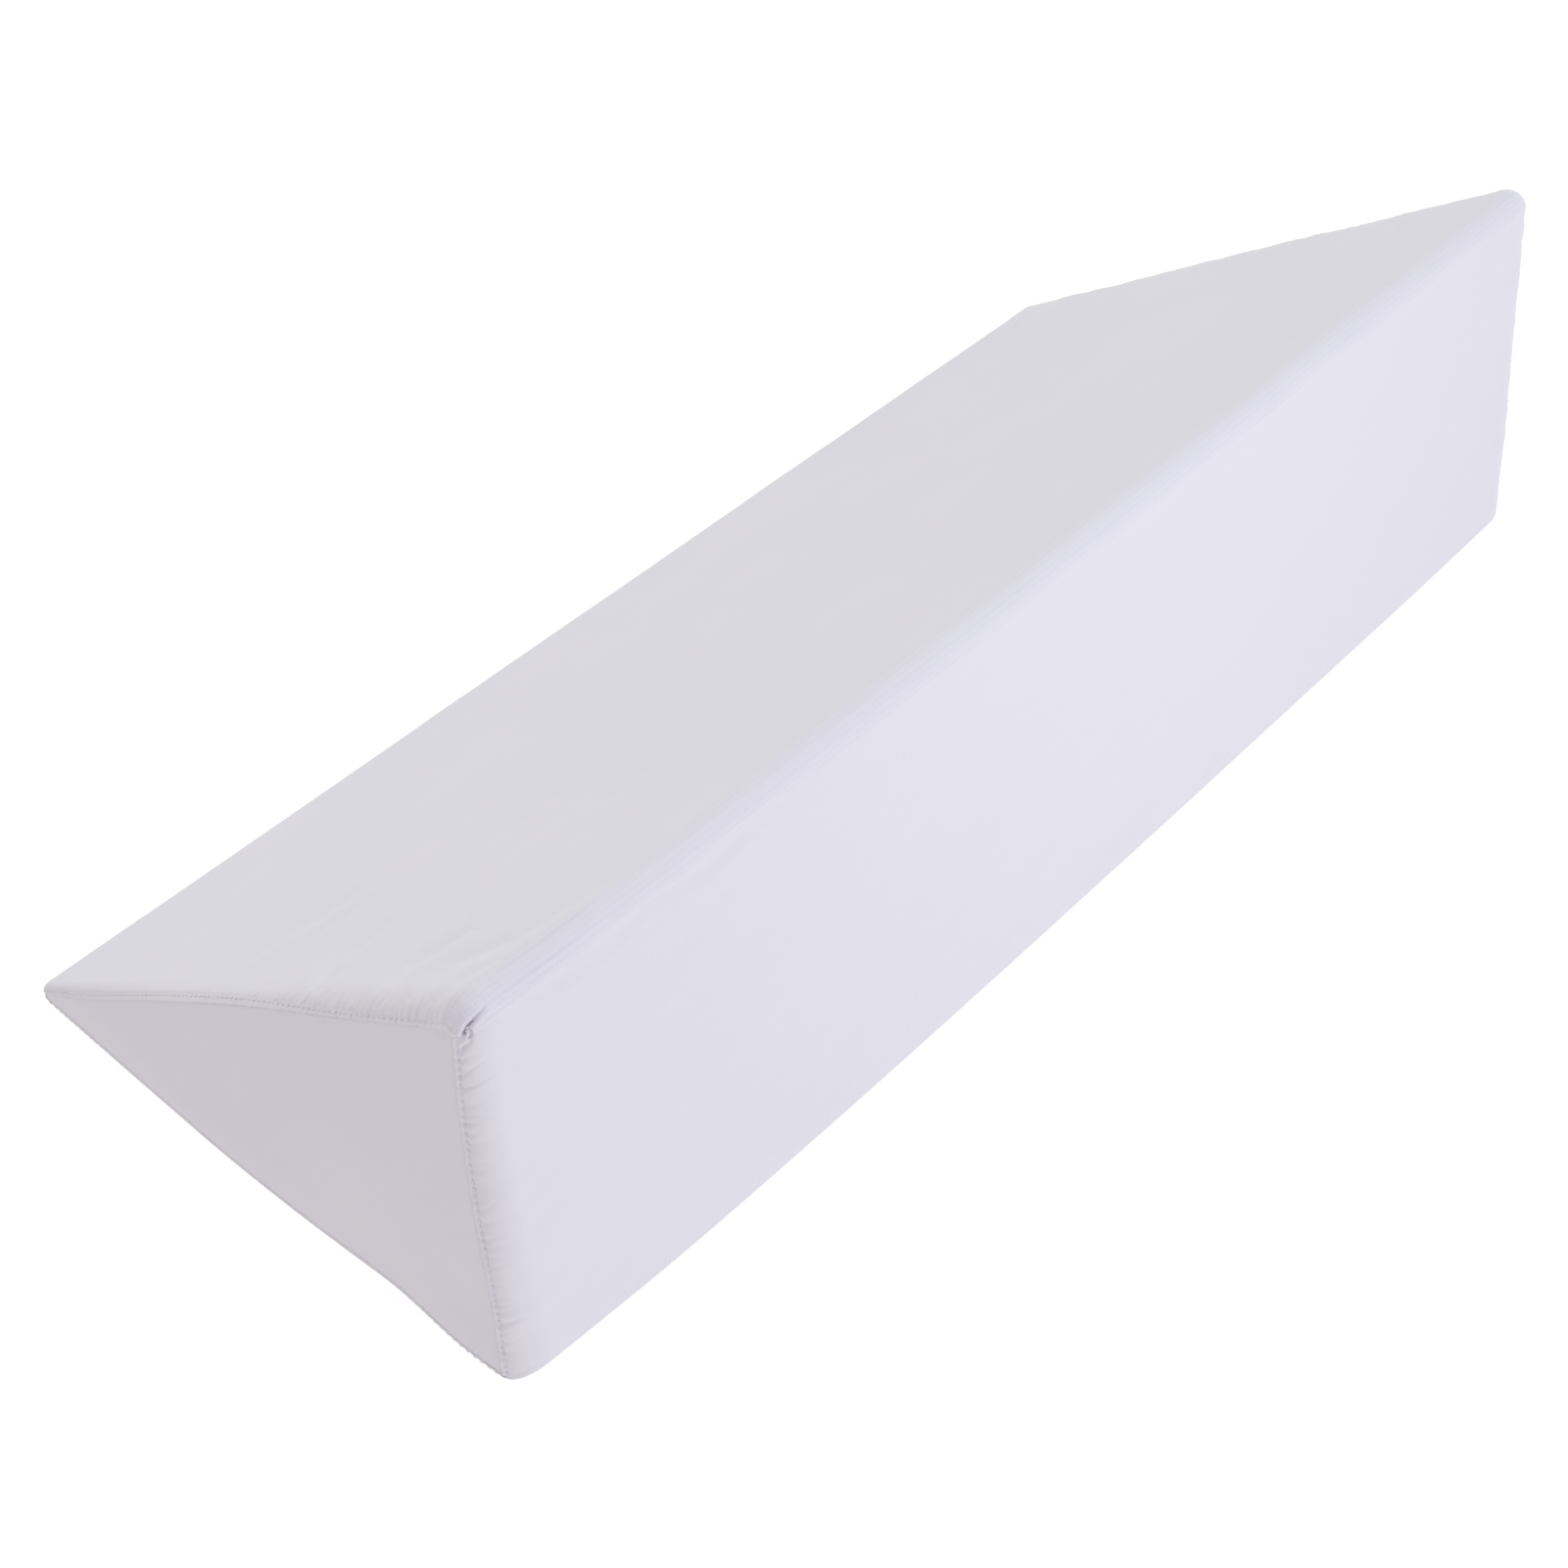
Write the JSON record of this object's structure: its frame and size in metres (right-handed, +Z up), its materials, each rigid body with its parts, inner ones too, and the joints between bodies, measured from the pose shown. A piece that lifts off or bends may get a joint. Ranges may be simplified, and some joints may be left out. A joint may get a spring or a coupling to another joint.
{
  "type": "leg elevation cushion",
  "caption": "Right-angled foam wedge cushion in a sewn white cloth cover: a long slope, a tall straight front, a flat base and seamed triangular ends.",
  "frame": {"origin": "middle of the flat base, on the surface that the cushion rests on", "axes": "+X along the length from the near end to the far end, +Y from the tall front face to the thin edge, +Z up"},
  "size_m": [0.6011, 0.2778, 0.1654],
  "materials": {
    "cover_cloth": "matte finely woven white cloth with a faint cool tint"
  },
  "bodies": {
    "root": {"wedge_body": "cover_cloth", "end_panel_near": "cover_cloth", "end_panel_far": "cover_cloth"}
  },
  "joints": []
}
